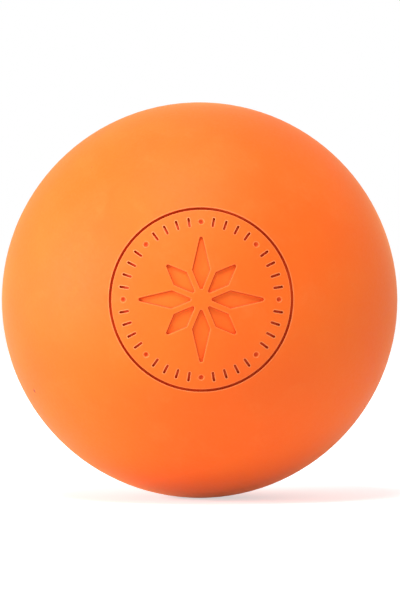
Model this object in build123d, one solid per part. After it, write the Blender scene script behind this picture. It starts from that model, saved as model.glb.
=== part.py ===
"""Lacrosse ball: one solid compression-moulded rubber ball, in millimetres.

The origin is the ball's centre and +Z is up. The two halves of the mould part along Y, so the parting
line lies in the plane y = 0, and the debossed crest sits on the pole that faces -Y. The crest is an
eight-pointed star inside a border of ticks and beads, with a plain ring groove round them. Every recess
runs along the mould's opening direction, because the ball has to come out of its cavity.
"""

import math
import os

from build123d import *

# The ball itself
BALL_DIAMETER = 63.5

# Line where the two halves of the mould met, left slightly proud when the flash was ground off
PARTING_LINE_WIDTH = 0.7
PARTING_LINE_HEIGHT = 0.05
PARTING_LINE_BLEND = 0.5

# Ring groove round the crest, with a round bottom
RING_DIAMETER = 27.6
RING_WIDTH = 0.38
RING_DEPTH = 0.8
RING_RIM_ROUND = 0.05

# Border inside the ring: a bead beyond each point of the star, and ticks between the beads
RING_TO_BORDER = 2.0
TICKS_PER_POINT = 4
TICK_LENGTH = 1.5
TICK_WIDTH = 0.38
TICK_DEPTH = 0.5
BEAD_DIAMETER = 0.9
BEAD_DEPTH = 0.3

# Star in the middle: its recessed points are kites, long and short by turns, set apart by ribs
BORDER_TO_STAR = 1.5
STAR_POINT_PAIRS = 4
STAR_SHORT_SHARE = 0.75
STAR_SHOULDER_SHARE = 0.45
STAR_RIB_WIDTH = 0.9
STAR_DEPTH = 0.45
STAR_CORNER_ROUND = 0.25
STAR_RIM_ROUND = 0.12
STAR_FLOOR_ROUND = 0.15

# How far a cutter stands proud of the ball, or reaches past a surface that cuts it back afterwards
CUT_OVERRUN = 1.0

BALL_RADIUS = BALL_DIAMETER / 2
RING_RADIUS = RING_DIAMETER / 2
BORDER_RADIUS = RING_RADIUS - RING_TO_BORDER
STAR_LONG_REACH = BORDER_RADIUS - BORDER_TO_STAR
STAR_SHORT_REACH = STAR_LONG_REACH * STAR_SHORT_SHARE
STAR_SHOULDER_REACH = STAR_LONG_REACH * STAR_SHOULDER_SHARE
STAR_POINTS = 2 * STAR_POINT_PAIRS

FULL_TURN = 360
QUARTER_TURN = 90
POINT_PITCH = FULL_TURN / STAR_POINTS
TICK_PITCH = POINT_PITCH / (TICKS_PER_POINT + 1)

# The crest is set out on the plane that touches the ball's pole, with the sketch's +Y up
CREST_PLANE = Plane.XZ.offset(BALL_RADIUS)
ON_SURFACE_TOLERANCE = 1e-3
EDGE_PROBE_SHARES = (0, 0.3, 0.5)


def surface_height(from_axis):
    """How far the ball's surface stands from the plane y = 0, at a distance from the mould axis."""
    return math.sqrt(BALL_RADIUS**2 - from_axis**2)


def edges_at(shape, radius):
    """The edges of a shape that lie on a sphere of that radius about the ball's centre."""
    return [
        edge
        for edge in shape.edges()
        if all(abs((edge @ share).length - radius) < ON_SURFACE_TOLERANCE for share in EDGE_PROBE_SHARES)
    ]


def cut_and_round(body, cutters, rim_round):
    """The body less the cutters, with the rims that they leave on the ball's surface rounded."""
    old_middles = [edge @ 0.5 for edge in edges_at(body, BALL_RADIUS)]
    body = body - cutters
    rims = [
        edge
        for edge in edges_at(body, BALL_RADIUS)
        if all((edge @ 0.5 - middle).length > ON_SURFACE_TOLERANCE for middle in old_middles)
    ]
    return fillet(rims, rim_round)


def parting_line():
    """A low bead all round the plane y = 0, rooted inside the ball."""
    half_width = PARTING_LINE_WIDTH / 2
    foot = surface_height(half_width)
    root = BALL_RADIUS - CUT_OVERRUN
    crown = ThreePointArc((foot, half_width), (BALL_RADIUS + PARTING_LINE_HEIGHT, 0), (foot, -half_width))
    sides = Polyline((foot, -half_width), (root, -half_width), (root, half_width), (foot, half_width))
    return revolve(make_face([crown, sides]), Axis.Y)


def ring_groove():
    """The cutter of the ring: a slot turned about the mould axis, its floor a half round."""
    mouth = -(BALL_RADIUS + CUT_OVERRUN)
    floor_centre = -(surface_height(RING_RADIUS) - RING_DEPTH + RING_WIDTH / 2)
    slot = Pos(RING_RADIUS, (mouth + floor_centre) / 2) * Rectangle(RING_WIDTH, floor_centre - mouth)
    floor = Pos(RING_RADIUS, floor_centre) * Circle(RING_WIDTH / 2)
    return revolve(slot + floor, Axis.Y)


def recess(outline, depth):
    """A cutter for an outline of the crest's sketch: its floor follows the ball at that depth."""
    reach = BALL_RADIUS - surface_height(BORDER_RADIUS) + depth + CUT_OVERRUN
    return extrude(CREST_PLANE * outline, amount=-reach) - Sphere(BALL_RADIUS - depth)


def star_point(reach):
    """The cutter of the point that stands straight up: its inner sides run half a rib off its sector."""
    half_sector = math.radians(POINT_PITCH / 2)
    across, along = math.sin(half_sector), math.cos(half_sector)
    half_rib = STAR_RIB_WIDTH / 2
    shoulder_x = STAR_SHOULDER_REACH * across - half_rib * along
    shoulder_y = STAR_SHOULDER_REACH * along + half_rib * across
    corners = [(0, half_rib / across), (shoulder_x, shoulder_y), (0, reach), (-shoulder_x, shoulder_y)]
    kite = make_face(Polyline(*corners, close=True))
    cutter = recess(fillet(kite.vertices(), STAR_CORNER_ROUND), STAR_DEPTH)
    return fillet(edges_at(cutter, BALL_RADIUS - STAR_DEPTH), STAR_FLOOR_ROUND)


def star():
    """The cutters of all the star's points, long and short by turns."""
    pair = [star_point(STAR_LONG_REACH), star_point(STAR_SHORT_REACH)]
    return [Rot(0, number * POINT_PITCH, 0) * pair[number % 2] for number in range(STAR_POINTS)]


def ticks():
    """The cutters of the border's ticks: short radial slots."""
    tick = recess(Pos(0, BORDER_RADIUS) * SlotOverall(TICK_LENGTH, TICK_WIDTH, QUARTER_TURN), TICK_DEPTH)
    turns = [
        number * POINT_PITCH + step * TICK_PITCH
        for number in range(STAR_POINTS)
        for step in range(1, TICKS_PER_POINT + 1)
    ]
    return [Rot(0, turn, 0) * tick for turn in turns]


def beads():
    """The cutters of the border's beads: balls that each sink a round dimple."""
    radius = (BEAD_DIAMETER**2 / 4 + BEAD_DEPTH**2) / (2 * BEAD_DEPTH)
    lean = math.degrees(math.asin(BORDER_RADIUS / BALL_RADIUS))
    bead = Rot(QUARTER_TURN - lean, 0, 0) * Pos(0, 0, BALL_RADIUS - BEAD_DEPTH + radius) * Sphere(radius)
    return [Rot(0, number * POINT_PITCH, 0) * bead for number in range(STAR_POINTS)]


def ball():
    """The whole moulding."""
    body = Sphere(BALL_RADIUS) + parting_line()
    feet = body.edges().filter_by(GeomType.CIRCLE).sort_by(SortBy.LENGTH)[-2:]
    body = fillet(feet, PARTING_LINE_BLEND)
    body = cut_and_round(body, [ring_groove()], RING_RIM_ROUND)
    body = cut_and_round(body, star(), STAR_RIM_ROUND)
    return body - [*ticks(), *beads()]


os.makedirs("parts", exist_ok=True)
export_step(ball(), "parts/ball.step")
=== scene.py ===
"""A lacrosse ball of orange moulded rubber, lying on a pale studio floor with its crest to the camera.

The ball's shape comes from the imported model. This script gives it its rubber, and sets the camera, the
floor and the lamps. Lengths are in metres, and colours are sRGB hex.
"""

import math

import bpy
from mathutils import Euler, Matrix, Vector


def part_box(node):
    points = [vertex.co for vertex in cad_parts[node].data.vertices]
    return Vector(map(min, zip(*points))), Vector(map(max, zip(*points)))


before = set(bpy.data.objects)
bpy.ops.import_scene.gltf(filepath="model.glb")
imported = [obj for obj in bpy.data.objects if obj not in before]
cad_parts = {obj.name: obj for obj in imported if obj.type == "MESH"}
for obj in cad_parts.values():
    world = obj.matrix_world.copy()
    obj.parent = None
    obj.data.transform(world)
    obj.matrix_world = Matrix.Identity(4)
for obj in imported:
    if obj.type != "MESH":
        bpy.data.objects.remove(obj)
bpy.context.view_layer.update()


# Camera: a straight front view from half a metre, a usual distance for such a product shot. The ball
# fills the picture's width, and its crest lies a hair to the right of the ball's middle and above it.
MM = 0.001
IMAGE_WIDTH, IMAGE_HEIGHT = 400, 600
BALL_CENTRE_PX = (199.6, 300.1)
BALL_RADIUS_PX = 197.8
CAMERA_DISTANCE = 500 * MM
CAMERA_AZIMUTH = math.radians(-0.47)
CAMERA_ELEVATION = math.radians(-0.16)
# A camera that isn't turned looks straight down, and this brings it level
FROM_DOWN_TO_LEVEL = math.radians(90)
# Blender takes a sensor and a lens in millimetres
SENSOR_LONG_SIDE = 36

ball_low, ball_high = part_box("ball")
ball_radius = (ball_high.y - ball_low.y) / 2
outline_tangent = math.tan(math.asin(ball_radius / CAMERA_DISTANCE))

camera_data = bpy.data.cameras.new("camera")
camera_data.sensor_width = SENSOR_LONG_SIDE
camera_data.lens = BALL_RADIUS_PX / IMAGE_HEIGHT * SENSOR_LONG_SIDE / outline_tangent
camera_data.shift_x = (IMAGE_WIDTH / 2 - BALL_CENTRE_PX[0]) / IMAGE_HEIGHT
camera_data.shift_y = (BALL_CENTRE_PX[1] - IMAGE_HEIGHT / 2) / IMAGE_HEIGHT
camera = bpy.data.objects.new("camera", camera_data)
camera.rotation_euler = Euler((FROM_DOWN_TO_LEVEL - CAMERA_ELEVATION, 0, CAMERA_AZIMUTH))
camera.location = camera.rotation_euler.to_matrix() @ Vector((0, 0, CAMERA_DISTANCE))
bpy.context.scene.collection.objects.link(camera)
bpy.context.scene.camera = camera


# The ball: one lump of filled natural rubber with an orange pigment, pressed and cured in a two-part
# steel mould. The mould presses the crest into it, and the flash along the seam is ground off after it.


def linear(hex_colour):
    """A colour written as sRGB hex, turned to the linear values that the shaders take."""
    shares = [int(hex_colour[i : i + 2], 16) / 255 for i in (1, 3, 5)]
    return tuple(s / 12.92 if s <= 0.04045 else ((s + 0.055) / 1.055) ** 2.4 for s in shares) + (1,)


def add(tree, kind, settings, *inputs, **named_inputs):
    """A new node with its settings. Its live inputs, in order or by name, take a value, another node's
    output, or another node, which then gives its first live output."""
    made = tree.nodes.new("ShaderNode" + kind)
    for name, value in settings.items():
        setattr(made, name, value)
    sockets = [socket for socket in made.inputs if socket.enabled]
    by_name = {socket.name.replace(" ", "_"): socket for socket in reversed(sockets)}
    pairs = list(zip(sockets, inputs)) + [(by_name[name], value) for name, value in named_inputs.items()]
    for socket, value in pairs:
        if isinstance(value, bpy.types.Node):
            value = next(output for output in value.outputs if output.enabled)
        if isinstance(value, bpy.types.NodeSocket):
            tree.links.new(value, socket)
        else:
            socket.default_value = value
    return made


# Moulded natural rubber: matt and a little waxy, so that light spreads softly over it and goes half a
# millimetre or so into it, redder the further it goes.
rubber = bpy.data.materials.new("moulded_natural_rubber")
rubber.use_nodes = True
tree = rubber.node_tree
place = add(tree, "TexCoord", {}).outputs["Object"]
axes = add(tree, "SeparateXYZ", {}, place)

# How deep a point lies below the ball's surface, from 0 at the surface to 1 well down in a cut
CUT_STARTS = 0.06 * MM
CUT_FULL = 0.35 * MM
from_centre = add(tree, "VectorMath", {"operation": "LENGTH"}, place)
cut_reaches = (ball_radius - CUT_STARTS, ball_radius - CUT_FULL)
in_cut = add(tree, "MapRange", {"interpolation_type": "SMOOTHSTEP"}, from_centre, *cut_reaches)

# The narrow cuts of the border and the ring, which get painted shade, told from the star's wide ones by
# how far they lie from the mould's axis
STAR_ENDS = 10.5 * MM
BORDER_STARTS = 11 * MM
ACROSS_MOULD_AXIS = (1, 0, 1)
in_crest_plane = add(tree, "VectorMath", {"operation": "MULTIPLY"}, place, ACROSS_MOULD_AXIS)
from_mould_axis = add(tree, "VectorMath", {"operation": "LENGTH"}, in_crest_plane)
in_border = add(tree, "MapRange", {}, from_mould_axis, STAR_ENDS, BORDER_STARTS)
in_narrow_cut = add(tree, "Math", {"operation": "MULTIPLY"}, in_cut, in_border)

# Pigment: it's milled into the rubber on rolls, and leaves slow drifts of a deeper orange. The slice
# picks one of the pattern's many forms
DRIFT_LENGTH = 16 * MM
DRIFT_SLICE = 3
DRIFT_LEAST, DRIFT_MOST = 0.35, 0.65
RUBBER_ORANGE = "#FF6E0C"
DRIFT_ORANGE = "#FD680A"
drift_inputs = {"W": DRIFT_SLICE, "Scale": 1 / DRIFT_LENGTH, "Detail": 3, "Roughness": 0.45}
drift = add(tree, "TexNoise", {"noise_dimensions": "4D"}, place, **drift_inputs)
drift = add(tree, "MapRange", {}, drift, DRIFT_LEAST, DRIFT_MOST)
colour = add(tree, "Mix", {"data_type": "RGBA"}, drift, A=linear(RUBBER_ORANGE), B=linear(DRIFT_ORANGE))

# Bloom: wax that comes out of the rubber as it ages, in thin pale clouds that break up into flecks
CLOUD_LENGTH = 7 * MM
CLOUD_LEAST, CLOUD_MOST = 0.45, 0.75
BREAK_LENGTH = 0.8 * MM
BREAK_LEAST, BREAK_MOST = 0.3, 0.6
LEFT_IN_BREAKS = 0.4
BLOOM_COLOUR = "#FF9858"
BLOOM_SHARE = 0.14
cloud = add(tree, "TexNoise", {}, place, 1 / CLOUD_LENGTH, Detail=6, Roughness=0.62, Distortion=0.6)
cloud = add(tree, "MapRange", {"interpolation_type": "SMOOTHSTEP"}, cloud, CLOUD_LEAST, CLOUD_MOST)
broken = add(tree, "TexNoise", {}, place, 1 / BREAK_LENGTH, Detail=2, Roughness=0.5)
broken = add(tree, "MapRange", {}, broken, BREAK_LEAST, BREAK_MOST, LEFT_IN_BREAKS, 1)
bloom = add(tree, "Math", {"operation": "MULTIPLY"}, cloud, broken)
bloom_share = add(tree, "Math", {"operation": "MULTIPLY"}, bloom, BLOOM_SHARE)
colour = add(tree, "Mix", {"data_type": "RGBA"}, bloom_share, A=colour, B=linear(BLOOM_COLOUR))

# Painted shade: a dark brown painted into the cuts where their shade falls. It is full on the walls down
# to the star's floor, which is left unpainted, and lighter below that depth in the narrow cuts
WALL_FOOT_DEPTH = 0.38 * MM
STAR_FLOOR_DEPTH = 0.45 * MM
PAINTED_SHADE_BROWN = "#C83400"
NARROW_CUT_SHADE = 0.6
wall_reaches = (ball_radius - STAR_FLOOR_DEPTH, ball_radius - WALL_FOOT_DEPTH)
off_floor = add(tree, "MapRange", {}, from_centre, *wall_reaches)
wall_shade = add(tree, "Math", {"operation": "MULTIPLY"}, in_cut, off_floor)
painted_shade = add(tree, "Math", {"operation": "MULTIPLY"}, in_narrow_cut, NARROW_CUT_SHADE)
painted_shade = add(tree, "Math", {"operation": "MAXIMUM"}, painted_shade, wall_shade)
# The painted shade in the cuts goes into the colour here
colour = add(tree, "Mix", {"data_type": "RGBA"}, painted_shade, A=colour, B=linear(PAINTED_SHADE_BROWN))

# Rims: a painted highlight, the edges of the cuts painted paler as where light catches them. A point is
# near an edge where the surface's normal, rounded over a short reach, leaves its own
RIM_REACH = 0.3 * MM
RIM_SAMPLES = 8
RIM_TURN_LEAST, RIM_TURN_MOST = 0.1, 0.5
RIM_HIGHLIGHT_COLOUR = "#FFA468"
RIM_HIGHLIGHT_SHARE = 0.65
own_normal = add(tree, "NewGeometry", {}).outputs["Normal"]
rounded_normal = add(tree, "Bevel", {"samples": RIM_SAMPLES}, RIM_REACH)
turn = add(tree, "VectorMath", {"operation": "DISTANCE"}, rounded_normal, own_normal)
at_edge = add(tree, "MapRange", {"interpolation_type": "SMOOTHSTEP"}, turn, RIM_TURN_LEAST, RIM_TURN_MOST)
outside_cut = add(tree, "Math", {"operation": "SUBTRACT"}, 1, in_cut)
rim_highlight = add(tree, "Math", {"operation": "MULTIPLY"}, at_edge, outside_cut)
rim_highlight = add(tree, "Math", {"operation": "MULTIPLY"}, rim_highlight, RIM_HIGHLIGHT_SHARE)
# The painted highlight on the rims goes into the colour here
colour = add(tree, "Mix", {"data_type": "RGBA"}, rim_highlight, A=colour, B=linear(RIM_HIGHLIGHT_COLOUR))

# Specks: grains of carbon black that got into the mix here and there, and one larger one low on the
# left of the side with the crest
SPECK_PITCH = 9 * MM
SPECK_RADIUS = 0.16 * MM
SPECK_SHARE = 0.5
SPECK_BROWN = "#7A3208"
LARGE_SPECK_RADIUS = 0.44 * MM
LARGE_SPECK_SIDE = Vector((-0.82, -0.35, -0.45)).normalized()
cells = add(tree, "TexVoronoi", {}, Vector=place, Scale=1 / SPECK_PITCH)
speck_reach = SPECK_RADIUS / SPECK_PITCH
speck = add(tree, "MapRange", {}, cells, speck_reach, speck_reach / 2, 0, SPECK_SHARE)
from_large = add(tree, "VectorMath", {"operation": "DISTANCE"}, place, LARGE_SPECK_SIDE * ball_radius)
large_speck = add(tree, "MapRange", {}, from_large, LARGE_SPECK_RADIUS, LARGE_SPECK_RADIUS / 2)
speck = add(tree, "Math", {"operation": "MAXIMUM"}, speck, large_speck)
colour = add(tree, "Mix", {"data_type": "RGBA"}, speck, A=colour, B=linear(SPECK_BROWN))

# Seam: the flash is ground off on a belt, which leaves a pale, rough band with scratches along it, about
# as far apart as the belt's grains. The band's edges wander
SEAM_HALF_WIDTH = 1.1 * MM
SEAM_WANDER = 1 * MM
SEAM_WANDER_LENGTH = 16 * MM
SEAM_COLOUR = "#FF9455"
SEAM_SHARE = 0.3
SCRATCH_SPACING = 0.22 * MM
SCRATCH_LENGTH = 5 * MM
SCRATCH_LEAST, SCRATCH_MOST = 0.4, 0.65
off_seam = add(tree, "Math", {"operation": "ABSOLUTE"}, axes.outputs["Y"])
wander = add(tree, "TexNoise", {}, place, 1 / SEAM_WANDER_LENGTH, Detail=2)
ragged = add(tree, "Math", {"operation": "MULTIPLY_ADD"}, wander, SEAM_WANDER, off_seam)
seam_reaches = (SEAM_HALF_WIDTH + SEAM_WANDER, SEAM_HALF_WIDTH)
in_seam = add(tree, "MapRange", {"interpolation_type": "SMOOTHSTEP"}, ragged, *seam_reaches)
scratch_scale = (1 / SCRATCH_LENGTH, 1 / SCRATCH_SPACING, 1 / SCRATCH_LENGTH)
along_seam = add(tree, "Mapping", {"vector_type": "POINT"}, place, Scale=scratch_scale)
scratches = add(tree, "TexNoise", {}, along_seam, Scale=1, Detail=3, Roughness=0.7)
scratches = add(tree, "MapRange", {}, scratches, SCRATCH_LEAST, SCRATCH_MOST)
scratched = add(tree, "Math", {"operation": "MULTIPLY"}, in_seam, scratches)
paler = add(tree, "Math", {"operation": "MULTIPLY"}, scratched, SEAM_SHARE)
colour = add(tree, "Mix", {"data_type": "RGBA"}, paler, A=colour, B=linear(SEAM_COLOUR))

# Gloss: matt, a little uneven with the grain, and duller under the bloom and where the seam is ground
GRAIN_LENGTH = 0.5 * MM
GRAIN_LEAST, GRAIN_MOST = 0.3, 0.7
RUBBER_ROUGHNESS = 0.62
UNEVENNESS = 0.05
BLOOM_DULLS = 0.12
GRINDING_DULLS = 0.15
roughness_reaches = (RUBBER_ROUGHNESS - UNEVENNESS, RUBBER_ROUGHNESS + UNEVENNESS)
grain = add(tree, "TexNoise", {}, place, 1 / GRAIN_LENGTH, Detail=3, Roughness=0.6)
roughness = add(tree, "MapRange", {}, grain, GRAIN_LEAST, GRAIN_MOST, *roughness_reaches)
roughness = add(tree, "Math", {"operation": "MULTIPLY_ADD"}, bloom, BLOOM_DULLS, roughness)
roughness = add(tree, "Math", {"operation": "MULTIPLY_ADD"}, in_seam, GRINDING_DULLS, roughness)

# Relief: the fine grain of a blasted mould, drawn about twice as coarse as it is so that it shows, on
# the slow waves that a thick lump takes as it shrinks, and the scratches of the seam. The bump's strength
# and distance of 1 keep these heights as they are
WAVE_LENGTH = 6 * MM
WAVE_HEIGHT = 0.01 * MM
GRAIN_HEIGHT = 0.02 * MM
SCRATCH_DEPTH = 0.015 * MM
waves = add(tree, "TexNoise", {}, place, 1 / WAVE_LENGTH, Detail=1)
relief = add(tree, "Math", {"operation": "MULTIPLY"}, waves, WAVE_HEIGHT)
relief = add(tree, "Math", {"operation": "MULTIPLY_ADD"}, grain, GRAIN_HEIGHT, relief)
relief = add(tree, "Math", {"operation": "MULTIPLY_ADD"}, scratched, -SCRATCH_DEPTH, relief)
bump = add(tree, "Bump", {}, Height=relief, Strength=1, Distance=1)

# Skin: the refractive index of natural rubber, a gloss held down by its fillers, light that goes in and
# comes out redder, and the soft pale edge that wax gives
SCATTER_DEPTH = 0.5 * MM
SHEEN_TINT = "#FFD490"
skin_values = {
    "IOR": 1.52,
    "Specular IOR Level": 0.33,
    "Subsurface Weight": 0.08,
    "Subsurface Radius": (1, 0.3, 0.1),
    "Subsurface Scale": SCATTER_DEPTH,
    "Sheen Weight": 0.3,
    "Sheen Roughness": 0.3,
    "Sheen Tint": linear(SHEEN_TINT),
}
skin = tree.nodes["Principled BSDF"]
for name, value in skin_values.items():
    skin.inputs[name].default_value = value
tree.links.new(colour.outputs["Result"], skin.inputs["Base Color"])
tree.links.new(roughness.outputs["Value"], skin.inputs["Roughness"])
tree.links.new(bump.outputs["Normal"], skin.inputs["Normal"])

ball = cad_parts["ball"]
ball.data.materials.clear()
ball.data.materials.append(rubber)


# The floor: a wide sheet of pale studio paper. The camera sees it lifted to white, as the backdrop is,
# except where the ball shades it.
FLOOR_SIZE = 8
PAPER_COLOUR = "#EAEAEA"
PAPER_ROUGHNESS = 0.9
PAPER_LIFT = 0.58
WHITE = linear("#FFFFFF")


def backdrop_shows(tree):
    """The node that gives 1 where the white backdrop shows, which is to the camera and in what is glossy
    or clear, and 0 to all other light."""
    rays = add(tree, "LightPath", {}).outputs
    shows = rays["Is Camera Ray"]
    for kind in ("Is Glossy Ray", "Is Transmission Ray"):
        shows = add(tree, "Math", {"operation": "MAXIMUM"}, shows, rays[kind])
    return shows


bpy.ops.object.select_all(action="DESELECT")
bpy.ops.mesh.primitive_plane_add(size=FLOOR_SIZE, location=(0, 0, ball_low.z))
floor = bpy.context.object
floor.name = "studio_floor"
paper = bpy.data.materials.new("matt_studio_paper")
paper.use_nodes = True
tree = paper.node_tree
sheet = tree.nodes["Principled BSDF"]
sheet.inputs["Base Color"].default_value = linear(PAPER_COLOUR)
sheet.inputs["Roughness"].default_value = PAPER_ROUGHNESS
sheet.inputs["Specular IOR Level"].default_value = 0
lift = add(tree, "Math", {"operation": "MULTIPLY"}, backdrop_shows(tree), PAPER_LIFT)
sheet.inputs["Emission Color"].default_value = WHITE
tree.links.new(lift.outputs["Value"], sheet.inputs["Emission Strength"])
floor.data.materials.append(paper)


# The light: an even white studio, and two softboxes, one at the left and a little in front of the ball,
# and one over the camera that looks steeply down at it. The studio shows as white, but lights the ball
# at half of that.
SURROUND_STRENGTH = 0.5
BACKDROP_STRENGTH = 1

world = bpy.data.worlds.new("studio")
world.use_nodes = True
tree = world.node_tree
backdrop = tree.nodes["Background"]
backdrop.inputs["Color"].default_value = WHITE
strengths = {"To_Min": SURROUND_STRENGTH, "To_Max": BACKDROP_STRENGTH}
strength = add(tree, "MapRange", {}, backdrop_shows(tree), **strengths)
tree.links.new(strength.outputs["Result"], backdrop.inputs["Strength"])
bpy.context.scene.world = world

# Each softbox with its direction from the ball and its power in watts
SOFTBOXES = (("left", (-0.94, -0.27, 0.2), 12.2), ("overhead", (-0.16, -0.46, 0.87), 9.8))
SOFTBOX_DISTANCE = 1.2
SOFTBOX_SIZE = 0.5
for name, direction, power in SOFTBOXES:
    direction = Vector(direction).normalized()
    lamp = bpy.data.lights.new(name + "_softbox", "AREA")
    lamp.shape = "DISK"
    lamp.size = SOFTBOX_SIZE
    lamp.energy = power
    softbox = bpy.data.objects.new(name + "_softbox", lamp)
    softbox.location = direction * SOFTBOX_DISTANCE
    softbox.rotation_euler = direction.to_track_quat("Z", "Y").to_euler()
    bpy.context.scene.collection.objects.link(softbox)

bpy.context.scene.view_settings.view_transform = "Standard"
